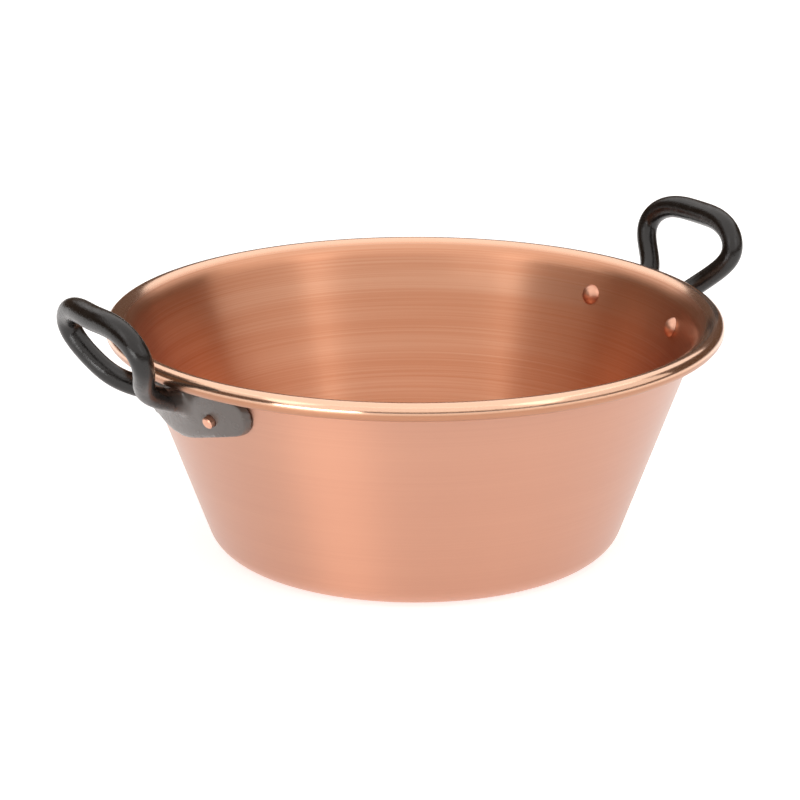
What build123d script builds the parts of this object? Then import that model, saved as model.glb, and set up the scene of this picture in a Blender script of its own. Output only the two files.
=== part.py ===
from build123d import *
from math import acos, asin, atan2, cos, degrees, radians, sin, sqrt, tan
import os

# Jam pan: a wide copper pan with a rolled, wired rim and two cast iron loop handles.
# Millimetres, +Z up. The origin is the middle of the base's underside. The handles
# stand on the X axis, the right one towards +X, and the front of the pan is towards -Y.

# Copper sheet
sheet = 1.5
rim_diameter = 360.0
pan_height = 139.0
floor_diameter = 236.0
corner_radius = 19.0

# Rolled rim: the sheet leans outwards in a flare and curls round a wire
wire_diameter = 7.0
wire_clearance = 0.15
wire_stand_off = 9.3
flare_radius = 16.0
curl_gap = 0.5

# Rivets: each handle's two sit at one drop below the rim, a little apart between the
# handles, and their angles are measured from the middle of the handle's loop
rivet_diameter = 7.0
rivet_clearance = 0.1
right_rivet_drop = 22.0
left_rivet_drop = 26.5
rivet_angles = [-18.6, 12.6]
head_diameter = 12.5
head_height = 4.0
stub_height = 3.4
stub_edge = 0.6

# Plate of a handle, curved with the wall and centred on its two rivets
plate_length = 142.0
plate_thickness = 4.6
plate_top_drop = 12.4
plate_end_drop = 30.3
plate_middle_drop = 50.6
plate_top_radius = 6.0
plate_end_radius = 15.0
plate_middle_radius = 60.0
plate_edge = 1.2
plate_clearance = 0.05
rim_clearance = 0.4

# Stations of one leg, from inside the plate to the last before the middle of the grip:
# how far each stands outside the rim, to the side and above the rim, and how high and
# how thick the bar is there
leg_outs = [-22.6, -13.1, -3.2, 5.5, 11.9, 16.7, 20.6, 23.8, 26.3, 28.4, 29.8, 30.7]
leg_offsets = [10.2, 13.5, 15.9, 18.6, 22.7, 29.4, 37.0, 41.0, 38.3, 30.6, 20.8, 10.6]
leg_rises = [-23.4, -20.9, -17.7, -13.5, -8.3, -1.8, 5.7, 13.7, 21.4, 27.1, 29.9, 30.6]
leg_heights = [18.1, 13.8, 11.3, 10.2, 10.0, 10.3, 10.9, 11.7, 12.3, 13.0, 13.5, 13.8]
leg_thicknesses = [15.4, 12.8, 11.1, 10.3, 10.1, 10.4, 10.9, 11.6, 12.3, 12.9, 13.5, 13.9]
grip_reach = 31.1
grip_rise = 30.5
grip_width = 13.9
corner_share = 0.45
crown_height = 110.0

# Rim and wall lines that follow from the sizes above
rim_radius = rim_diameter / 2
floor_radius = floor_diameter / 2
bore_radius = wire_diameter / 2 + wire_clearance
bead_radius = bore_radius + sheet
bead = Vector(rim_radius - bead_radius, pan_height - bead_radius)
bead_run = bead - Vector(floor_radius, 0)
wall_stand_off = wire_stand_off - sheet
lean = degrees(atan2(bead_run.X, bead_run.Y) - asin(wall_stand_off / bead_run.length))
wall_way = Vector(sin(radians(lean)), cos(radians(lean)))
corner_angle = 90 - lean
corner_run = corner_radius * tan(radians(corner_angle / 2))
flare_run = sqrt((flare_radius - bead_radius) ** 2 - (flare_radius - wire_stand_off) ** 2)
flare_angle = degrees(acos((flare_radius - wire_stand_off) / (flare_radius - bead_radius)))
wall_length = bead_run.dot(wall_way) - flare_run

# Angle at the wire between the flare's end and the place where the curl meets the sheet
outer_flare = flare_radius - sheet
wire_to_flare = flare_radius - bead_radius
meeting = (outer_flare**2 - wire_to_flare**2 - bead_radius**2) / (2 * wire_to_flare * bead_radius)
curl_angle = 360 - degrees(acos(meeting) + curl_gap / bead_radius)


def wall_radius(level):
    return floor_radius + level * tan(radians(lean))


def on_wall(angle, level, stand_off):
    # point outside the wall, measured square to it
    out = wall_radius(level) + stand_off * cos(radians(lean))
    up = level - stand_off * sin(radians(lean))
    return Vector(out, 0, up).rotate(Axis.Z, angle)


def rivet_plane(angle, drop):
    # plane on the wall's outer face, with its normal pointing away from the pan
    outwards = Vector(cos(radians(lean)), 0, -sin(radians(lean))).rotate(Axis.Z, angle)
    sideways = Vector(0, 1, 0).rotate(Axis.Z, angle)
    return Plane(on_wall(angle, pan_height - drop, 0), x_dir=sideways, z_dir=outwards)


seat_radius = wall_radius(pan_height - left_rivet_drop)
right_rivets = [rivet_plane(angle, right_rivet_drop) for angle in rivet_angles]
left_rivets = [rivet_plane(180 + angle, left_rivet_drop) for angle in rivet_angles]
hole_radius = rivet_diameter / 2 + rivet_clearance
hole_depth = sheet + plate_thickness + stub_height
head_gap = (head_diameter / 2) ** 2 / seat_radius / 2 + rivet_clearance

# Pan body
with BuildPart() as pan_body:
    with BuildSketch(Plane.XZ):
        with BuildLine():
            below = Line((0, 0), (floor_radius - corner_run, 0))
            heel = JernArc(below @ 1, (1, 0), corner_radius, corner_angle)
            outside = Line(heel @ 1, Vector(floor_radius, 0) + wall_way * wall_length)
            flare = JernArc(outside @ 1, wall_way, outer_flare, -flare_angle)
            curl = JernArc(flare @ 1, flare % 1, bore_radius, -curl_angle)
            above = Line((0, sheet), (floor_radius - corner_run, sheet))
            hollow = JernArc(above @ 1, (1, 0), corner_radius - sheet, corner_angle)
            wall_face = Vector(-wall_way.Y, wall_way.X) * sheet
            inside = Line(hollow @ 1, outside @ 1 + wall_face)
            throat = JernArc(inside @ 1, wall_way, flare_radius, -flare_angle)
            roll = JernArc(throat @ 1, throat % 1, bead_radius, -curl_angle)
            Line(curl @ 1, roll @ 1)
            Line((0, 0), (0, sheet))
        make_face()
    revolve(axis=Axis.Z)
    with Locations(*right_rivets, *left_rivets):
        Hole(hole_radius, hole_depth)
pan_body.part.label = "pan_body"

# Rim wire
with BuildPart() as rim_wire:
    with BuildSketch(Plane.XZ):
        with Locations((bead.X, bead.Y)):
            Circle(wire_diameter / 2)
    revolve(axis=Axis.Z)
rim_wire.part.label = "rim_wire"

# Space that the pan takes up, which the handles are cut clear of
wall_gap = plate_clearance / cos(radians(lean))
with BuildPart() as pan_space:
    with BuildSketch(Plane.XZ):
        with BuildLine():
            low = (wall_radius(0) + wall_gap, 0)
            high = (wall_radius(pan_height) + wall_gap, pan_height)
            Polyline((0, 0), low, high, (0, pan_height), close=True)
        make_face()
        with Locations((bead.X, bead.Y)):
            Circle(bead_radius + rim_clearance)
    revolve(axis=Axis.Z)

# Layer round the wall that the handle plates are cut from
plate_gap = wall_gap + plate_thickness / cos(radians(lean))
with BuildPart() as plate_layer:
    with BuildSketch(Plane.XZ):
        with BuildLine():
            Polyline(
                (wall_radius(0) + wall_gap, 0),
                (wall_radius(0) + plate_gap, 0),
                (wall_radius(pan_height) + plate_gap, pan_height),
                (wall_radius(pan_height) + wall_gap, pan_height),
                close=True,
            )
        make_face()
    revolve(axis=Axis.Z)


def leg_stations(side):
    stations = []
    for out, offset, rise, height, thickness in zip(
        leg_outs, leg_offsets, leg_rises, leg_heights, leg_thicknesses
    ):
        centre = Vector(rim_radius + out, side * offset, pan_height + rise)
        stations.append((centre, height, thickness))
    return stations


# Stations of the whole loop, from one root over the grip to the other
grip = (Vector(rim_radius + grip_reach, 0, pan_height + grip_rise), grip_width, grip_width)
stations = leg_stations(-1) + [grip] + leg_stations(1)[::-1]
crown = Vector(seat_radius, 0, pan_height + crown_height)
plate_angle = sum(rivet_angles) / len(rivet_angles)
plate_way = Vector(1, 0, 0).rotate(Axis.Z, plate_angle)

# Casting that both handles are made from
with BuildPart() as casting:
    with BuildSketch(Plane((0, 0, 0), x_dir=plate_way.rotate(Axis.Z, 90), z_dir=plate_way)):
        with BuildLine():
            Polyline(
                (-plate_length / 2, pan_height - plate_top_drop),
                (plate_length / 2, pan_height - plate_top_drop),
                (plate_length / 2, pan_height - plate_end_drop),
                (0, pan_height - plate_middle_drop),
                (-plate_length / 2, pan_height - plate_end_drop),
                close=True,
            )
        make_face()
        fillet(vertices().group_by(Axis.Y)[-1], plate_top_radius)
        fillet(vertices().group_by(Axis.Y)[1], plate_end_radius)
        fillet(vertices().group_by(Axis.Y)[0], plate_middle_radius)
    extrude(amount=rim_radius)
    add(plate_layer.part, mode=Mode.INTERSECT)
    fillet(faces().filter_by(GeomType.CONE).sort_by(SortBy.AREA)[-1].edges(), plate_edge)
    for index, (centre, height, thickness) in enumerate(stations):
        before = stations[max(index - 1, 0)][0]
        after = stations[min(index + 1, len(stations) - 1)][0]
        along = (after - before).normalized()
        upright = (crown - centre) - along * (crown - centre).dot(along)
        with BuildSketch(Plane(centre, x_dir=upright, z_dir=along)):
            RectangleRounded(height, thickness, corner_share * min(height, thickness))
    loft()
    add(pan_space.part, mode=Mode.SUBTRACT)

# Right handle
with BuildPart() as handle_right:
    add(casting.part)
    with Locations(*right_rivets):
        Hole(hole_radius, hole_depth)
handle_right.part.label = "handle_right"

# Left handle, half a turn round the pan
with BuildPart() as handle_left:
    add(casting.part, rotation=(0, 0, 180))
    with Locations(*left_rivets):
        Hole(hole_radius, hole_depth)
handle_left.part.label = "handle_left"


def make_rivet(plane, label):
    # domed head inside the pan, shank through the wall and the plate, flat stub outside
    head_seat = -sheet - head_gap
    crown_end = head_seat - head_height
    stub_end = plate_thickness + stub_height
    shank = rivet_diameter / 2
    with BuildPart() as rivet:
        with BuildSketch(Plane(plane.origin, x_dir=plane.z_dir, z_dir=plane.x_dir)):
            with BuildLine():
                dome = TangentArc((crown_end, 0), (head_seat, head_diameter / 2), tangent=(0, 1))
                Polyline(
                    dome @ 1,
                    (head_seat, shank),
                    (stub_end - stub_edge, shank),
                    (stub_end, shank - stub_edge),
                    (stub_end, 0),
                    dome @ 0,
                )
            make_face()
        revolve(axis=Axis(plane.origin, plane.z_dir))
    rivet.part.label = label
    return rivet.part


rivets = [
    make_rivet(right_rivets[0], "rivet_right_front"),
    make_rivet(right_rivets[1], "rivet_right_back"),
    make_rivet(left_rivets[0], "rivet_left_back"),
    make_rivet(left_rivets[1], "rivet_left_front"),
]

os.makedirs("parts", exist_ok=True)
export_step(pan_body.part, "parts/pan_body.step")
export_step(rim_wire.part, "parts/rim_wire.step")
export_step(handle_right.part, "parts/handle_right.step")
export_step(handle_left.part, "parts/handle_left.step")
for rivet in rivets:
    export_step(rivet, f"parts/{rivet.label}.step")
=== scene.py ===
import math

import bmesh
import bpy
from mathutils import Matrix, Vector


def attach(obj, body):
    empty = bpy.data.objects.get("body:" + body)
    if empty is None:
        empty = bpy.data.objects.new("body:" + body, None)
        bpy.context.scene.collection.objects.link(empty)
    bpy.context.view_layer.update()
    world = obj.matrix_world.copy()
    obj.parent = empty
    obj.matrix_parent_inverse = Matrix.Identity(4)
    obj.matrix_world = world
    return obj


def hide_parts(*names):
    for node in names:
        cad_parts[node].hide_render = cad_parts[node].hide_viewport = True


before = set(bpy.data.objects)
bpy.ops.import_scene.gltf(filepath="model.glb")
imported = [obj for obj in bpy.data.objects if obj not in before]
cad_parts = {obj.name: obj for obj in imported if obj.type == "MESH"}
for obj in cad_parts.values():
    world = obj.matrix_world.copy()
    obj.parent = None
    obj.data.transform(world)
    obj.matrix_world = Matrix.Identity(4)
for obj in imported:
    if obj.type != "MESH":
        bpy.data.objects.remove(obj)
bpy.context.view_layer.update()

mm = 0.001


def srgb(code):
    # hex colour as seen on screen, turned to the linear values that the shaders take
    values = []
    for place in (0, 2, 4):
        part = int(code[place:place + 2], 16) / 255
        values.append(part / 12.92 if part <= 0.04045 else ((part + 0.055) / 1.055) ** 2.4)
    return (*values, 1.0)


def addNode(tree, kind, settings=None, **links):
    # one node with its settings and links. Where sockets share a name they go by number: 6 in
    # the settings, in6 among the links
    node = tree.nodes.new(kind)
    for name, value in (settings or {}).items():
        if isinstance(name, int) or name in node.inputs:
            node.inputs[name].default_value = value
        else:
            setattr(node, name, value)
    for name, source in links.items():
        socket = int(name[2:]) if name.startswith("in") else name
        tree.links.new(source, node.inputs[socket])
    return node


def newMaterial(name):
    material = bpy.data.materials.new(name)
    material.use_nodes = True
    material.node_tree.nodes.clear()
    return material, material.node_tree


def dress(thing, material):
    thing.data.materials.clear()
    thing.data.materials.append(material)


def clearSelection():
    if bpy.context.object and bpy.context.object.mode != "OBJECT":
        bpy.ops.object.mode_set(mode="OBJECT")
    bpy.ops.object.select_all(action="DESELECT")


def workOn(piece):
    clearSelection()
    piece.select_set(True)
    bpy.context.view_layer.objects.active = piece


def addModifier(piece, kind, **settings):
    # added, set and applied at once
    workOn(piece)
    modifier = piece.modifiers.new(kind.lower(), kind)
    for name, value in settings.items():
        setattr(modifier, name, value)
    bpy.ops.object.modifier_apply(modifier=modifier.name)


def settle(piece, degrees=None):
    # place, turn and size go into the mesh, and the faces are shaded smooth, with edges sharper
    # than a given angle kept crisp
    workOn(piece)
    bpy.ops.object.transform_apply(location=True, rotation=True, scale=True)
    if degrees:
        bpy.ops.object.shade_smooth_by_angle(angle=math.radians(degrees))
    else:
        bpy.ops.object.shade_smooth()


def copyOf(piece, name):
    twin = piece.copy()
    twin.data = piece.data.copy()
    twin.name = name
    bpy.context.collection.objects.link(twin)
    return twin


def discard(piece):
    bpy.data.objects.remove(piece, do_unlink=True)


def cutWith(piece, tool, operation):
    addModifier(piece, "BOOLEAN", object=tool, operation=operation, solver="EXACT")
    discard(tool)


def turnedPiece(name, rings, segments):
    # raised ring by ring, like work on a lathe. Rings are (radius, height) in mm, from the
    # middle out
    clearSelection()
    radius, height = rings[0]
    bpy.ops.mesh.primitive_circle_add(
        vertices=segments, radius=radius * mm, fill_type="TRIFAN", location=(0, 0, height * mm))
    piece = bpy.context.object
    piece.name = name
    bpy.ops.object.transform_apply(location=True)
    bpy.ops.object.mode_set(mode="EDIT")
    bpy.ops.mesh.select_mode(type="EDGE")
    bpy.ops.mesh.select_all(action="SELECT")
    bpy.ops.mesh.region_to_loop()
    for nextRadius, nextHeight in rings[1:]:
        bpy.ops.mesh.extrude_edges_move(
            TRANSFORM_OT_translate={"value": (0, 0, (nextHeight - height) * mm)})
        grow = nextRadius / radius
        bpy.ops.transform.resize(value=(grow, grow, 1), center_override=(0, 0, nextHeight * mm))
        radius, height = nextRadius, nextHeight
    bpy.ops.object.mode_set(mode="OBJECT")
    return piece


def arcRings(centre, radius, start, end, steps):
    # points on an arc in the (radius, height) plane, angles in degrees from straight outwards
    points = []
    for step in range(1, steps + 1):
        way = math.radians(start + (end - start) * step / steps)
        points.append((centre[0] + radius * math.cos(way), centre[1] + radius * math.sin(way)))
    return points


camera = {
    "place": (-0.9409, -1.3949, 0.6187),  # metres
    "heading": (0.5330, 0.7902, -0.3022),  # the way it looks
    "lens": 135.0,  # mm
    "sensor": 36.0,  # mm
    "shiftX": -0.01885,  # of the sensor's width
    "seesFrom": 0.05,  # metres
    "seesTo": 50.0,
}


def placeCamera():
    lensData = bpy.data.cameras.new("studioCamera")
    lensData.lens = camera["lens"]
    lensData.sensor_width = camera["sensor"]
    lensData.shift_x = camera["shiftX"]
    lensData.clip_start = camera["seesFrom"]
    lensData.clip_end = camera["seesTo"]
    stand = bpy.data.objects.new("studioCamera", lensData)
    stand.location = camera["place"]
    stand.rotation_mode = "QUATERNION"
    stand.rotation_quaternion = Vector(camera["heading"]).to_track_quat("-Z", "Y")
    bpy.context.collection.objects.link(stand)
    bpy.context.scene.camera = stand
    bpy.context.scene.view_settings.view_transform = "Standard"  # plain tones
    print("camera set")


studio = {
    "floorSize": 9.0,  # metres, as are the other sizes here
    "floorColour": "D4D4D4",
    "floorGlow": 0.68,  # lifts the floor to an even white
    "sky": "66503F",  # warm, so that shaded copper keeps its colour
    "cameraTurn": -34.0,  # degrees round the pan, where the camera stands
    "aimHeight": 0.1,  # all boxes face this point over the middle of the pan
    # name: (degrees left of the camera, distance, height of its middle, width, height, glow)
    "boxes": {
        "overheadBox": (180.0, 0.5, 1.7, 3.0, 3.2, 1.2),
        "frontBox": (0.0, 1.38, 1.25, 3.6, 1.68, 1.1),
        "leftBox": (72.0, 1.3, 1.25, 1.5, 0.7, 1.0),
        "rightBox": (-75.0, 1.3, 0.97, 1.6, 1.15, 1.0),
        "lowLeftBox": (33.0, 1.6, 0.14, 0.85, 0.26, 7.4),
    },
}


def makeStudio():
    clearSelection()
    bpy.ops.mesh.primitive_plane_add(size=studio["floorSize"], location=(0, 0, 0))
    floor = bpy.context.object
    floor.name = "studioFloor"
    # matt emulsion paint, rolled on: flat and pale, with no sheen and no grain
    material, tree = newMaterial("mattPaintedFloor")
    shader = addNode(tree, "ShaderNodeBsdfPrincipled", {
        "Base Color": srgb(studio["floorColour"]), "Roughness": 0.9, "Specular IOR Level": 0.1,
        "Emission Color": (1, 1, 1, 1), "Emission Strength": studio["floorGlow"]})
    addNode(tree, "ShaderNodeOutputMaterial", Surface=shader.outputs["BSDF"])
    dress(floor, material)

    for name, (turn, away, high, wide, tall, glow) in studio["boxes"].items():
        lamp = bpy.data.lights.new(name, "AREA")
        lamp.shape = "RECTANGLE"
        lamp.size = wide
        lamp.size_y = tall
        lamp.energy = glow * math.pi * wide * tall
        box = bpy.data.objects.new(name, lamp)
        way = math.radians(studio["cameraTurn"] - turn)
        box.location = (math.sin(way) * away, -math.cos(way) * away, high)
        aim = Vector((0, 0, studio["aimHeight"])) - box.location
        box.rotation_mode = "QUATERNION"
        box.rotation_quaternion = aim.to_track_quat("-Z", "Y")
        bpy.context.collection.objects.link(box)

    world = bpy.data.worlds.new("studioSky")
    world.use_nodes = True
    tree = world.node_tree
    tree.nodes.clear()
    glow = addNode(tree, "ShaderNodeBackground", {"Color": srgb(studio["sky"])})
    addNode(tree, "ShaderNodeOutputWorld", Surface=glow.outputs["Background"])
    bpy.context.scene.world = world
    print("studio lit")


pan = {
    # mm
    "rimRadius": 180.0,
    "height": 139.0,
    "floorRadius": 118.0,  # where the line of the wall's outer face meets the ground
    "sheet": 1.5,
    "heelRadius": 19.0,
    "flareRadius": 16.0,
    "beadRadius": 5.15,  # of the rolled rim, with its sheet
    "wireStandOff": 9.3,  # from the wall's inner face to the middle of the bead
    "curlGap": 0.5,  # from the end of the curl to the sheet
    "floorRings": [12.0, 50.0, 85.0],  # radii of the first rings
    "heelLead": 3.0,  # from the last ring of the flat floor to the heel
    # steps in the mesh
    "segments": 256,
    "heelSteps": 12,
    "wallSteps": 14,
    "flareSteps": 8,
    "curlSteps": 40,
    "crease": 50.0,  # degrees, sharper edges stay crisp
}
sheet = pan["sheet"]
beadPlace = (pan["rimRadius"] - pan["beadRadius"], pan["height"] - pan["beadRadius"])
beadRun = math.hypot(beadPlace[0] - pan["floorRadius"], beadPlace[1])
lean = math.atan2(beadPlace[0] - pan["floorRadius"], beadPlace[1])
lean -= math.asin((pan["wireStandOff"] - sheet) / beadRun)  # of the wall from upright, radians


def wallRadius(level):
    # of the wall's outer face at a height, mm
    return pan["floorRadius"] + level * math.tan(lean)


def makePan():
    # the sheet's inner face goes from the middle of the floor up the wall, over the flare and
    # round the wire, and is then thickened outwards
    tilt = math.degrees(lean)
    bead, flare = pan["beadRadius"], pan["flareRadius"]
    heelRun = pan["heelRadius"] * math.tan(math.radians(90 - tilt) / 2)
    heelMiddle = (pan["floorRadius"] - heelRun, pan["heelRadius"])
    reach, side = flare - bead, flare - pan["wireStandOff"]
    along = math.sqrt(reach ** 2 - side ** 2)
    out = (math.cos(lean), -math.sin(lean))
    up = (math.sin(lean), math.cos(lean))
    flareMiddle = (beadPlace[0] + out[0] * side - up[0] * along,
                   beadPlace[1] + out[1] * side - up[1] * along)
    curlStart = 180 - tilt - math.degrees(math.acos(side / reach))
    wallEnd = (flareMiddle[0] - out[0] * flare, flareMiddle[1] - out[1] * flare)
    meeting = ((flare - sheet) ** 2 - reach ** 2 - bead ** 2) / (2 * reach * bead)
    curl = 360 - math.degrees(math.acos(meeting) + pan["curlGap"] / bead)

    flat = pan["floorRings"] + [heelMiddle[0] - pan["heelLead"], heelMiddle[0]]
    rings = [(radius, sheet) for radius in flat]
    rings += arcRings(heelMiddle, pan["heelRadius"] - sheet, -90, -tilt, pan["heelSteps"])
    wallStart = rings[-1]
    for step in range(1, pan["wallSteps"] + 1):
        share = step / pan["wallSteps"]
        rings.append(tuple(low + (high - low) * share for low, high in zip(wallStart, wallEnd)))
    rings += arcRings(flareMiddle, flare, 180 - tilt, curlStart, pan["flareSteps"])
    rings += arcRings(beadPlace, bead, curlStart, curlStart - curl, pan["curlSteps"])

    piece = turnedPiece("panShell", rings, pan["segments"])
    workOn(piece)
    bpy.ops.object.mode_set(mode="EDIT")
    bpy.ops.mesh.select_all(action="SELECT")
    bpy.ops.mesh.normals_make_consistent(inside=False)
    shape = bmesh.from_edit_mesh(piece.data)
    middleFace = min(shape.faces, key=lambda face: face.calc_center_median().xy.length)
    if middleFace.normal.z < 0:
        bpy.ops.mesh.flip_normals()
    bpy.ops.object.mode_set(mode="OBJECT")
    addModifier(piece, "SOLIDIFY", thickness=sheet * mm, offset=-1.0, use_even_offset=True)
    settle(piece, pan["crease"])
    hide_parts("pan_body")
    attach(piece, "root")
    print("pan body turned")
    return piece


noiseSpan = {"From Min": 0.35, "From Max": 0.65}  # where most of a noise texture's values lie


def fromAxis(tree, where):
    # a point's place with its height left out, its distance from the pan's axis and its height
    flat = addNode(tree, "ShaderNodeVectorMath", {"operation": "MULTIPLY", 1: (1, 1, 0)},
                   in0=where).outputs["Vector"]
    radius = addNode(tree, "ShaderNodeVectorMath", {"operation": "LENGTH"},
                     in0=flat).outputs["Value"]
    level = addNode(tree, "ShaderNodeSeparateXYZ", Vector=where).outputs["Z"]
    return flat, radius, level


copper = {
    # colours are the deepest and the palest tone
    "inside": {
        "colours": ("CA8965", "D59F80"), "roughness": 0.34, "roughnessSwing": 0.03,
        "lineStrength": 0.05, "lacquer": 0.4, "lacquerIor": 1.5,
    },
    "outside": {
        "colours": ("CC8862", "CF8C66"), "roughness": 0.52, "roughnessSwing": 0.01,
        "lineStrength": 0.02, "lacquer": 1.0,
        "lacquerIor": 2.0,  # over a real lacquer's 1.5, for the pale sheen
    },
    # the bead's pale top tone is a painted highlight, its darker underside tone painted shade
    "beadColour": "E7BCA0",
    "beadUnderside": "B98465",
    "polish": 0.16,  # roughness of the top of the bead
    "underside": 0.36,  # roughness of the bead below its middle, where no wheel reaches
    "wheelEdge": 0.7,  # mm above and below the middle of the bead, the two fade between them
    "beadCover": (5.4, 7.0),  # mm from the middle of the wire, polish fades between them
    "anisotropy": 0.85,  # how far the lines draw reflections out
    "smearTurn": 0.25,  # of a whole turn, which draws them out across the lines
    "lacquerRoughness": 0.38,
    "lineSpacing": 1.1,  # mm, real polishing lines are 0.1 mm apart, drawn coarser to show
    "lineLength": 260.0,  # mm round the pan
    "lineDepth": 0.05,  # mm
    "bandSpacing": 30.0,  # mm, slow change of tone where the polishing wheel dwelt
    "bandLength": 540.0,  # mm round the pan
    "radiusShare": 0.9,  # of the radius that counts in the way along the profile
}


def spunCopper(name, face):
    # copper sheet spun on a lathe and satin polished with a wheel while it turned: soft
    # unbroken lines run round the pan, reflections are drawn out across them, and only the top
    # of the bead is bright, polished and painted paler as a highlight, with painted shade below
    material, tree = newMaterial(name)
    where = addNode(tree, "ShaderNodeTexCoord").outputs["Object"]
    flat, radius, level = fromAxis(tree, where)
    around = addNode(tree, "ShaderNodeVectorMath", {"operation": "NORMALIZE"},
                     in0=flat).outputs["Vector"]
    # along the profile, near enough: height with most of the radius
    run = addNode(tree, "ShaderNodeMath",
                  {"operation": "MULTIPLY_ADD", 1: copper["radiusShare"]},
                  in0=radius, in2=level).outputs["Value"]
    lift = addNode(tree, "ShaderNodeCombineXYZ", Z=run).outputs["Vector"]
    patterns = []
    for spacing, length, detail in (
            (copper["lineSpacing"], copper["lineLength"], {"Detail": 2.0, "Lacunarity": 1.6}),
            (copper["bandSpacing"], copper["bandLength"], {"Detail": 1.0})):
        turn = pan["rimRadius"] * mm * spacing / length
        place = addNode(tree, "ShaderNodeVectorMath",
                        {"operation": "MULTIPLY_ADD", 1: (turn, turn, 0)},
                        in0=around, in2=lift).outputs["Vector"]
        noise = addNode(tree, "ShaderNodeTexNoise", {"Scale": 1 / (spacing * mm), **detail},
                        Vector=place)
        patterns.append(noise.outputs["Fac"])
    lines, bands = patterns
    both = addNode(tree, "ShaderNodeMix", {"data_type": "FLOAT", "Factor": 0.5},
                   in2=lines, in3=bands).outputs[0]
    spread = addNode(tree, "ShaderNodeMapRange", noiseSpan, Value=both).outputs["Result"]
    deep, pale = face["colours"]
    tint = addNode(tree, "ShaderNodeMix", {"data_type": "RGBA", 6: srgb(deep), 7: srgb(pale)},
                   in0=spread).outputs[2]
    middle, swing = face["roughness"], face["roughnessSwing"]
    satin = addNode(tree, "ShaderNodeMapRange",
                    {**noiseSpan, "To Min": middle + swing, "To Max": middle - swing},
                    Value=both).outputs["Result"]

    # the bead: how far a point lies from it, and how far below its middle
    spot = addNode(tree, "ShaderNodeCombineXYZ", X=radius, Z=level).outputs["Vector"]
    away = addNode(tree, "ShaderNodeVectorMath",
                   {"operation": "DISTANCE", 1: (beadPlace[0] * mm, 0, beadPlace[1] * mm)},
                   in0=spot).outputs["Value"]
    near, far = copper["beadCover"]
    cover = addNode(tree, "ShaderNodeMapRange", {"From Min": near * mm, "From Max": far * mm},
                    Value=away).outputs["Result"]
    over, below = beadPlace[1] + copper["wheelEdge"], beadPlace[1] - copper["wheelEdge"]
    under = addNode(tree, "ShaderNodeMapRange", {"From Min": over * mm, "From Max": below * mm},
                    Value=level).outputs["Result"]
    polish = addNode(tree, "ShaderNodeMix",
                     {"data_type": "FLOAT", 2: copper["polish"], 3: copper["underside"]},
                     in0=under).outputs[0]
    gloss = addNode(tree, "ShaderNodeMix", {"data_type": "FLOAT"},
                    in0=cover, in2=polish, in3=satin).outputs[0]
    # painted highlight on the bead's top and painted shade below its middle, by the same height
    # mask
    beadPaintedLightAndShade = addNode(tree, "ShaderNodeMix",
                       {"data_type": "RGBA", 6: srgb(copper["beadColour"]),
                        7: srgb(copper["beadUnderside"])}, in0=under).outputs[2]
    colour = addNode(tree, "ShaderNodeMix", {"data_type": "RGBA"},
                     in0=cover, in6=beadPaintedLightAndShade, in7=tint).outputs[2]

    bump = addNode(tree, "ShaderNodeBump",
                   {"Strength": face["lineStrength"], "Distance": copper["lineDepth"] * mm},
                   Height=lines).outputs["Normal"]
    turning = addNode(tree, "ShaderNodeTangent",
                      {"direction_type": "RADIAL", "axis": "Z"}).outputs["Tangent"]
    shader = addNode(tree, "ShaderNodeBsdfPrincipled",
                     {"Metallic": 1.0, "Anisotropic": copper["anisotropy"],
                      "Anisotropic Rotation": copper["smearTurn"],
                      "Coat Weight": face["lacquer"], "Coat IOR": face["lacquerIor"],
                      "Coat Roughness": copper["lacquerRoughness"]},
                     **{"Base Color": colour}, Roughness=gloss, Normal=bump, Tangent=turning)
    addNode(tree, "ShaderNodeOutputMaterial", Surface=shader.outputs["BSDF"])
    return material


def dressPan(piece):
    # the outside is lacquered, the bead and the face that touches the fruit hardly are
    dress(piece, copperOutside)
    piece.data.materials.append(copperInside)
    workOn(piece)
    bpy.ops.object.mode_set(mode="EDIT")
    bpy.ops.mesh.select_mode(type="FACE")
    bpy.ops.mesh.select_all(action="DESELECT")
    shape = bmesh.from_edit_mesh(piece.data)
    for face in shape.faces:
        centre = face.calc_center_median() / mm
        radius = centre.xy.length
        inwards = face.normal.z > 0 or face.normal.xy.dot(centre.xy) < 0
        away = math.hypot(radius - beadPlace[0], centre.z - beadPlace[1])
        face.select_set(away < copper["beadCover"][0] or (inwards and radius < beadPlace[0]))
    bmesh.update_edit_mesh(piece.data)
    piece.active_material_index = 1
    bpy.ops.object.material_slot_assign()
    bpy.ops.object.mode_set(mode="OBJECT")


rivetMetal = {
    "colours": ("D39C82", "E2B19A"),  # the deepest and the palest tone
    "roughness": 0.4,
    "dentSize": 3.0,  # mm, marks of the rivet set
    "dentDepth": 0.12,  # mm
    "dentStrength": 0.6,
}


def hammeredCopper():
    # soft copper struck with a rivet set: a satin dome with faint dents
    material, tree = newMaterial("hammeredCopperRivet")
    where = addNode(tree, "ShaderNodeTexCoord").outputs["Object"]
    dents = addNode(tree, "ShaderNodeTexNoise",
                    {"Scale": 1 / (rivetMetal["dentSize"] * mm), "Detail": 1.0},
                    Vector=where).outputs["Fac"]
    deep, pale = rivetMetal["colours"]
    tint = addNode(tree, "ShaderNodeMix", {"data_type": "RGBA", 6: srgb(deep), 7: srgb(pale)},
                   in0=dents).outputs[2]
    bump = addNode(tree, "ShaderNodeBump",
                   {"Strength": rivetMetal["dentStrength"],
                    "Distance": rivetMetal["dentDepth"] * mm}, Height=dents).outputs["Normal"]
    shader = addNode(tree, "ShaderNodeBsdfPrincipled",
                     {"Metallic": 1.0, "Roughness": rivetMetal["roughness"]},
                     **{"Base Color": tint}, Normal=bump)
    addNode(tree, "ShaderNodeOutputMaterial", Surface=shader.outputs["BSDF"])
    return material


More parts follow.
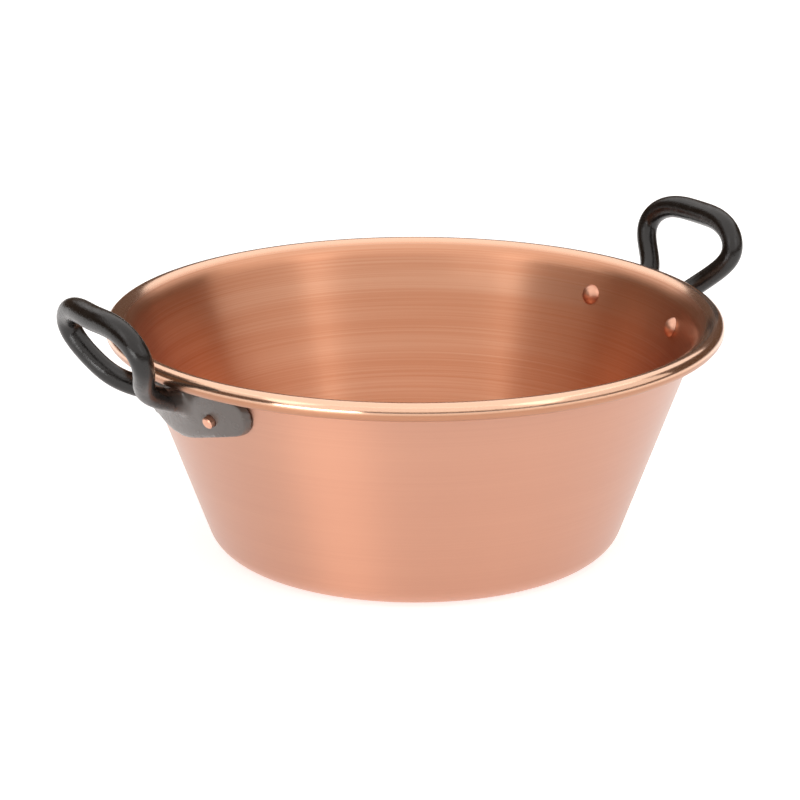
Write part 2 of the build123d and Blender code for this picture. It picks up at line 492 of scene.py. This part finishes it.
iron = {
    "colours": ("0C0A09", "151210"),  # the darkest and the palest tone
    "plateColour": "544D49",  # grey on the plate is a painted reflection of the pale floor
    "plateRise": (6.0, 16.0),  # mm off the line of the wall, the painted reflection fades between them
    "roughness": (0.18, 0.28),  # in the hollows of the slow waves and on their tops
    "lacquerIor": 1.5,
    "skinGrain": 1.0,  # mm, real moulding sand has 0.3 mm grains, drawn coarser to show
    "skinDepth": 0.25,  # mm
    "lumpSize": 8.0,  # mm, slow waves left by the mould
    "lumpDepth": 0.35,  # mm
    "strength": 0.5,  # of both reliefs
}


def lacqueredIron():
    # iron cast in sand, then lacquered black: grainy and slightly wavy under an even gloss,
    # with the plate painted grey as a painted reflection of the pale floor
    material, tree = newMaterial("lacqueredCastIron")
    where = addNode(tree, "ShaderNodeTexCoord").outputs["Object"]
    grain = addNode(tree, "ShaderNodeTexNoise",
                    {"Scale": 1 / (iron["skinGrain"] * mm), "Detail": 3.0, "Roughness": 0.6},
                    Vector=where).outputs["Fac"]
    lumps = addNode(tree, "ShaderNodeTexNoise",
                    {"Scale": 1 / (iron["lumpSize"] * mm), "Detail": 1.0},
                    Vector=where).outputs["Fac"]
    dark, pale = iron["colours"]
    tint = addNode(tree, "ShaderNodeMix", {"data_type": "RGBA", 6: srgb(dark), 7: srgb(pale)},
                   in0=grain).outputs[2]

    # the plate lies on the wall, whose radius grows evenly with height, and near the wall the
    # colour turns to the grey painted reflection
    flat, radius, level = fromAxis(tree, where)
    wall = addNode(tree, "ShaderNodeMath",
                   {"operation": "MULTIPLY_ADD", 1: math.tan(lean), 2: wallRadius(0) * mm},
                   in0=level).outputs["Value"]
    rise = addNode(tree, "ShaderNodeMath", {"operation": "SUBTRACT"},
                   in0=radius, in1=wall).outputs["Value"]
    low, high = iron["plateRise"]
    paintedReflectionMask = addNode(tree, "ShaderNodeMapRange",
                      {"From Min": low * mm, "From Max": high * mm,
                       "To Min": 1.0, "To Max": 0.0}, Value=rise).outputs["Result"]
    colour = addNode(tree, "ShaderNodeMix", {"data_type": "RGBA", 7: srgb(iron["plateColour"])},
                     in0=paintedReflectionMask, in6=tint).outputs[2]

    smooth, rough = iron["roughness"]
    gloss = addNode(tree, "ShaderNodeMapRange",
                    {**noiseSpan, "To Min": smooth, "To Max": rough},
                    Value=lumps).outputs["Result"]
    waves = addNode(tree, "ShaderNodeBump",
                    {"Strength": iron["strength"], "Distance": iron["lumpDepth"] * mm},
                    Height=lumps).outputs["Normal"]
    skin = addNode(tree, "ShaderNodeBump",
                   {"Strength": iron["strength"], "Distance": iron["skinDepth"] * mm},
                   Height=grain, Normal=waves).outputs["Normal"]
    shader = addNode(tree, "ShaderNodeBsdfPrincipled", {"IOR": iron["lacquerIor"]},
                     **{"Base Color": colour}, Roughness=gloss, Normal=skin)
    addNode(tree, "ShaderNodeOutputMaterial", Surface=shader.outputs["BSDF"])
    return material


wire = {
    "colours": ("8E8C88", "A9A7A3"),  # the darkest and the palest tone
    "roughness": 0.38,
    "lineSpacing": 0.6,  # mm, lines that the die left along the wire
    "lineDepth": 0.03,  # mm
    "lineStrength": 0.3,
}


def drawnSteel():
    # steel wire pulled through a die: fine lines along it, a dull grey sheen
    material, tree = newMaterial("drawnSteelWire")
    where = addNode(tree, "ShaderNodeTexCoord").outputs["Object"]
    flat, radius, level = fromAxis(tree, where)
    spot = addNode(tree, "ShaderNodeCombineXYZ", X=radius, Y=level).outputs["Vector"]
    lines = addNode(tree, "ShaderNodeTexNoise",
                    {"Scale": 1 / (wire["lineSpacing"] * mm), "Detail": 2.0},
                    Vector=spot).outputs["Fac"]
    dark, pale = wire["colours"]
    tint = addNode(tree, "ShaderNodeMix", {"data_type": "RGBA", 6: srgb(dark), 7: srgb(pale)},
                   in0=lines).outputs[2]
    bump = addNode(tree, "ShaderNodeBump",
                   {"Strength": wire["lineStrength"], "Distance": wire["lineDepth"] * mm},
                   Height=lines).outputs["Normal"]
    shader = addNode(tree, "ShaderNodeBsdfPrincipled",
                     {"Metallic": 1.0, "Roughness": wire["roughness"]},
                     **{"Base Color": tint}, Normal=bump)
    addNode(tree, "ShaderNodeOutputMaterial", Surface=shader.outputs["BSDF"])
    return material


handle = {
    # mm. The lists are stations of one leg, from inside the plate to the last before the middle
    # of the grip: how far each stands outside the rim, to the side and above the rim, and how
    # high and how thick the bar is there
    "outs": [-22.6, -13.1, -3.2, 5.5, 11.9, 16.7, 20.6, 23.8, 26.3, 28.4, 29.8, 30.7],
    "offsets": [10.2, 13.5, 15.9, 18.6, 22.7, 29.4, 37.0, 41.0, 38.3, 30.6, 20.8, 10.6],
    "rises": [-23.4, -20.9, -17.7, -13.5, -8.3, -1.8, 5.7, 13.7, 21.4, 27.1, 29.9, 30.6],
    "heights": [18.1, 14.4, 12.6, 12.2, 12.1, 12.0, 12.1, 12.4, 12.7, 13.1, 13.5, 13.8],
    "thicknesses": [15.4, 13.4, 12.4, 12.2, 12.1, 12.0, 12.1, 12.3, 12.6, 13.0, 13.5, 13.9],
    "gripReach": 31.1,
    "gripRise": 30.5,
    "gripWidth": 13.9,
    "loopFace": (-0.7, 0.0, 0.7),  # the loop faces this way, its rings stand upright along it
    "ringPoints": 24,
    "ringsBetween": 4,
    "ringSwell": 1.02,  # makes up for what the smoothing takes off
    "plateLength": 140.4,
    "plateThickness": 4.6,
    "plateTopDrop": 12.4,  # drops are below the rim
    "plateEndDrop": 31.4,
    "plateMiddleDrop": 50.6,
    "topRadius": 6.0,
    "endRadius": 16.5,
    "middleRadius": 60.0,
    "cornerSteps": 12,
    "plateTurn": -3.0,  # degrees round the pan, its middle lies between the rivets
    "blockMiddle": 150.0,  # from the pan's axis, of the block that the plate is cut from
    "blockDepth": 110.0,
    "pickReach": 1.0,  # an edge of the block is picked by its place when it lies this near
    # the fillet where the legs flow into the plate is worked
    "filletReach": 34.0,  # to either side of the loop's middle
    "filletRise": 8.0,  # off the plate
    "filletSink": 1.0,  # into the plate
    "filletDrop": 9.0,  # from here down, below the rim
    "filletPasses": 60,
    "skinPasses": 14,
    "smoothing": 0.5,  # share of the way to its neighbours that a point moves in a pass
    "wallGap": 0.25,  # left between casting and wall
    "rimGap": 0.5,  # left between casting and bead
    "grain": 0.6,  # between the points of the finished mesh
    "wallSides": 512,  # of the cone that stands for the pan's wall
    "beadSides": 32,  # round the section of the ring that stands for the bead
}


def legStations(side):
    stations = []
    for out, offset, rise, height, thickness in zip(
            handle["outs"], handle["offsets"], handle["rises"], handle["heights"],
            handle["thicknesses"]):
        centre = Vector((pan["rimRadius"] + out, side * offset, pan["height"] + rise))
        stations.append((centre, height, thickness))
    return stations


def between(stations, steps):
    # more stations on an evenly bending curve, a cubic B-spline, with the bar's height and
    # thickness eased the same way. The given ones are pulled outwards first, so that it passes
    # close by them
    last = len(stations) - 1
    pulled = [stations[0]]
    for index in range(1, last):
        row = stations[index - 1:index + 2]
        pulled.append(tuple(row[1][part] * 4 / 3 - (row[0][part] + row[2][part]) / 6
                            for part in range(3)))
    pulled.append(stations[last])
    finer = []
    for index in range(last):
        row = [pulled[min(max(index + shift, 0), last)] for shift in (-1, 0, 1, 2)]
        for step in range(steps):
            t = step / steps
            weights = ((1 - t) ** 3 / 6, (3 * t ** 3 - 6 * t ** 2 + 4) / 6,
                       (1 + 3 * t + 3 * t ** 2 - 3 * t ** 3) / 6, t ** 3 / 6)
            finer.append(tuple(
                sum((station[part] * weight for station, weight in zip(row[1:], weights[1:])),
                    row[0][part] * weights[0])
                for part in range(3)))
    return finer + [stations[last]]


def makeBar():
    # a ring is set at each station along the loop and joined to the one before
    middle = Vector((pan["rimRadius"] + handle["gripReach"], 0,
                     pan["height"] + handle["gripRise"]))
    grip = (middle, handle["gripWidth"], handle["gripWidth"])
    stations = between(legStations(-1) + [grip] + legStations(1)[::-1], handle["ringsBetween"])
    square = Vector(handle["loopFace"])
    count = handle["ringPoints"]
    rings = []
    clearSelection()
    for index, (centre, height, thickness) in enumerate(stations):
        before = stations[max(index - 1, 0)][0]
        after = stations[min(index + 1, len(stations) - 1)][0]
        along = (after - before).normalized()
        upright = (square - along * square.dot(along)).normalized()
        turn = Matrix((upright, along.cross(upright), along)).transposed()
        bpy.ops.mesh.primitive_circle_add(
            vertices=count, radius=handle["ringSwell"] / 2 * mm, location=centre * mm,
            rotation=turn.to_euler())
        bpy.context.object.scale = (height, thickness, 1)
        rings.append(bpy.context.object)
    for ring in rings:
        ring.select_set(True)
    bar = rings[0]
    bpy.context.view_layer.objects.active = bar
    bpy.ops.object.transform_apply(location=True, rotation=True, scale=True)
    bpy.ops.object.join()
    bar.name = "handleBar"
    bpy.ops.object.mode_set(mode="EDIT")
    bpy.ops.mesh.select_mode(type="EDGE")
    for index in range(len(stations) - 1):
        bpy.ops.mesh.select_all(action="DESELECT")
        shape = bmesh.from_edit_mesh(bar.data)
        for edge in shape.edges:
            ends = {vertex.index // count for vertex in edge.verts}
            if len(ends) == 1 and ends <= {index, index + 1}:
                edge.select_set(True)
        bmesh.update_edit_mesh(bar.data)
        bpy.ops.mesh.bridge_edge_loops()
    bpy.ops.mesh.select_all(action="DESELECT")
    bpy.ops.mesh.select_non_manifold()
    bpy.ops.mesh.edge_face_add()
    bpy.ops.mesh.select_all(action="SELECT")
    bpy.ops.mesh.normals_make_consistent(inside=False)
    bpy.ops.object.mode_set(mode="OBJECT")
    return bar


def makePlate():
    # a block cut and rounded to the plate's outline, kept only in a layer round the wall
    top = pan["height"] - handle["plateTopDrop"]
    end = pan["height"] - handle["plateEndDrop"]
    middle = pan["height"] - handle["plateMiddleDrop"]
    half, near = handle["plateLength"] / 2, handle["pickReach"]
    clearSelection()
    bpy.ops.mesh.primitive_cube_add(
        size=1, location=(handle["blockMiddle"] * mm, 0, (top + middle) / 2 * mm),
        scale=(handle["blockDepth"] * mm, 2 * half * mm, (top - middle) * mm))
    block = bpy.context.object
    block.name = "handlePlate"
    bpy.ops.object.transform_apply(location=True, rotation=True, scale=True)
    bpy.ops.object.mode_set(mode="EDIT")
    for side in (-1, 1):
        bpy.ops.mesh.select_all(action="SELECT")
        bpy.ops.mesh.bisect(plane_co=(0, 0, middle * mm),
                            plane_no=Vector((0, side * (end - middle), -half)).normalized(),
                            use_fill=True, clear_outer=True)
    slope = math.atan2(end - middle, half)
    corners = (
        (((-half, top), (half, top)), handle["topRadius"], math.pi / 2),
        (((-half, end), (half, end)), handle["endRadius"], math.pi / 2 - slope),
        (((0, middle),), handle["middleRadius"], 2 * slope),
    )
    bpy.ops.mesh.select_mode(type="EDGE")
    for places, radius, turn in corners:
        bpy.ops.mesh.select_all(action="DESELECT")
        shape = bmesh.from_edit_mesh(block.data)
        for edge in shape.edges:
            side = (edge.verts[0].co + edge.verts[1].co) / 2 / mm
            lying = (edge.verts[0].co - edge.verts[1].co).yz.length < near * mm
            edge.select_set(lying and any(
                math.hypot(side.y - y, side.z - z) < near for y, z in places))
        bmesh.update_edit_mesh(block.data)
        bpy.ops.mesh.bevel(offset=radius * math.tan(turn / 2) * mm,
                           segments=handle["cornerSteps"], profile=0.5, clamp_overlap=False)
    bpy.ops.object.mode_set(mode="OBJECT")
    block.rotation_euler = (0, 0, math.radians(handle["plateTurn"]))
    settle(block)
    for stand, operation in ((handle["plateThickness"] + handle["wallGap"], "INTERSECT"),
                             (handle["wallGap"], "DIFFERENCE")):
        cutWith(block, wallCone(stand), operation)
    return block


def wallCone(stand):
    # the space inside the wall's outer face, grown by a stand off in mm
    grow = stand / math.cos(lean)
    clearSelection()
    bpy.ops.mesh.primitive_cone_add(
        vertices=handle["wallSides"], radius1=(wallRadius(0) + grow) * mm,
        radius2=(wallRadius(pan["height"]) + grow) * mm,
        depth=pan["height"] * mm, location=(0, 0, pan["height"] / 2 * mm))
    return bpy.context.object


rivet = {
    # mm
    "headRadius": 6.25,
    "headHeight": 4.0,
    "crownRadius": 1.0,  # of the first ring, on top of the dome
    "seatRing": 0.5,  # from the edges of the head's seat to the rings that keep them crisp
    "shank": 3.5,  # radius
    "clearance": 0.1,
    "stubHeight": 3.4,
    # radius of the last rings and their height over the top of the stub's edge
    "stubRings": [(3.5, -0.9), (3.5, -0.6), (2.9, 0.0), (2.3, 0.1), (0.3, 0.2)],
    "sides": 48,
    "domeSteps": 8,
    "crease": 35.0,  # degrees, sharper edges stay crisp
    "drillSides": 64,
    "drillDepth": 40.0,
    # name: (degrees round the pan, mm below the rim)
    "places": {
        "rivet_right_front": (-18.6, 22.0),
        "rivet_right_back": (12.6, 22.0),
        "rivet_left_back": (161.4, 26.5),
        "rivet_left_front": (192.6, 26.5),
    },
}


def rivetPlace(name):
    # turn and place of a rivet, which is made with its z pointing out of the pan and its zero
    # on the wall's outer face
    angle, drop = rivet["places"][name]
    level = pan["height"] - drop
    seat = Vector((wallRadius(level) * mm, 0, level * mm))
    return (Matrix.Rotation(math.radians(angle), 4, "Z") @ Matrix.Translation(seat)
            @ Matrix.Rotation(math.pi / 2 + lean, 4, "Y"))


def holeCutter(name, turn):
    # drill for one rivet, turned round the pan to where the casting is made
    clearSelection()
    bpy.ops.mesh.primitive_cylinder_add(
        vertices=rivet["drillSides"], radius=(rivet["shank"] + rivet["clearance"]) * mm,
        depth=rivet["drillDepth"] * mm)
    tool = bpy.context.object
    tool.matrix_world = Matrix.Rotation(-turn, 4, "Z") @ rivetPlace(name)
    return tool


def softenRoots(piece):
    # the roots flow into the plate in a wide fillet
    workOn(piece)
    bpy.ops.object.mode_set(mode="EDIT")
    bpy.ops.mesh.select_mode(type="VERT")
    bpy.ops.mesh.select_all(action="DESELECT")
    shape = bmesh.from_edit_mesh(piece.data)
    face = handle["plateThickness"] + handle["wallGap"]
    for vertex in shape.verts:
        x, y, z = vertex.co / mm
        stand = (math.hypot(x, y) - wallRadius(z)) * math.cos(lean)
        if (abs(y) < handle["filletReach"] and z < pan["height"] - handle["filletDrop"]
                and face - handle["filletSink"] < stand < face + handle["filletRise"]):
            vertex.select_set(True)
    bmesh.update_edit_mesh(piece.data)
    bpy.ops.mesh.vertices_smooth(factor=handle["smoothing"], repeat=handle["filletPasses"])
    bpy.ops.object.mode_set(mode="OBJECT")


def makeHandles():
    # one bar and one plate, copied for the two sides: the plate is drilled, both are fused and
    # smoothed into one casting, which is then turned to its side
    bar = makeBar()
    cutWith(bar, wallCone(handle["wallGap"]), "DIFFERENCE")
    clearSelection()
    bpy.ops.mesh.primitive_torus_add(
        major_segments=pan["segments"], minor_segments=handle["beadSides"],
        major_radius=beadPlace[0] * mm,
        minor_radius=(pan["beadRadius"] + handle["rimGap"]) * mm,
        location=(0, 0, beadPlace[1] * mm))
    cutWith(bar, bpy.context.object, "DIFFERENCE")
    plate = makePlate()
    for side, turn in (("right", 0), ("left", math.pi)):
        piece = copyOf(bar, side + "Handle")
        drilled = copyOf(plate, side + "Plate")
        for end in ("front", "back"):
            cutWith(drilled, holeCutter("rivet_" + side + "_" + end, turn), "DIFFERENCE")
        workOn(piece)
        drilled.select_set(True)
        bpy.ops.object.join()
        addModifier(piece, "REMESH", mode="VOXEL", voxel_size=handle["grain"] * mm)
        addModifier(piece, "SMOOTH", factor=handle["smoothing"],
                    iterations=handle["skinPasses"])
        softenRoots(piece)
        piece.rotation_euler = (0, 0, turn)
        settle(piece)
        dress(piece, castIron)
        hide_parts("handle_" + side)
        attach(piece, "root")
        print(piece.name, "cast,", len(piece.data.polygons), "faces")
    discard(bar)
    discard(plate)


def makeRivets():
    # domed head inside the pan, shank through wall and plate, stub outside with a worn edge
    shank, edge = rivet["shank"], rivet["seatRing"]
    radius, height = rivet["headRadius"], rivet["headHeight"]
    stubEnd = handle["plateThickness"] + rivet["stubHeight"]
    deepest = max(drop for angle, drop in rivet["places"].values())
    # a head stands off by what the wall bends away under it
    hollow = radius ** 2 / 2 / wallRadius(pan["height"] - deepest)
    headSeat = -sheet - hollow - rivet["clearance"]
    bend = (radius ** 2 + height ** 2) / 2 / height  # radius of the dome
    crown = rivet["crownRadius"]
    start = math.degrees(math.asin(crown / bend)) - 90
    end = math.degrees(math.asin(radius / bend)) - 90
    middle = headSeat - height + bend
    rings = [(crown, middle - math.sqrt(bend ** 2 - crown ** 2))]
    rings += arcRings((0, middle), bend, start, end, rivet["domeSteps"])
    rings += [(radius - edge, headSeat), (shank, headSeat), (shank, headSeat + edge)]
    rings += [(across, stubEnd + rise) for across, rise in rivet["stubRings"]]
    pattern = turnedPiece("rivetPattern", rings, rivet["sides"])
    bpy.ops.object.mode_set(mode="EDIT")
    bpy.ops.mesh.select_all(action="DESELECT")
    bpy.ops.mesh.select_non_manifold()
    bpy.ops.mesh.edge_face_add()
    bpy.ops.mesh.select_all(action="SELECT")
    bpy.ops.mesh.normals_make_consistent(inside=False)
    bpy.ops.object.mode_set(mode="OBJECT")
    for name in rivet["places"]:
        piece = copyOf(pattern, "copper" + name.title().replace("_", ""))
        piece.matrix_world = rivetPlace(name)
        settle(piece, rivet["crease"])
        dress(piece, rivetCopper)
        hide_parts(name)
        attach(piece, "root")
    discard(pattern)
    print("rivets set")


placeCamera()
makeStudio()
copperInside = spunCopper("spunSatinCopper", copper["inside"])
copperOutside = spunCopper("lacqueredSpunCopper", copper["outside"])
rivetCopper = hammeredCopper()
castIron = lacqueredIron()
steelWire = drawnSteel()
print("finishes mixed")
panShell = makePan()
dressPan(panShell)
makeRivets()
makeHandles()
for node, material in (("pan_body", copperOutside), ("rim_wire", steelWire),
                       ("handle_right", castIron), ("handle_left", castIron),
                       *((name, rivetCopper) for name in rivet["places"])):
    dress(bpy.data.objects[node], material)
print("solids dressed")
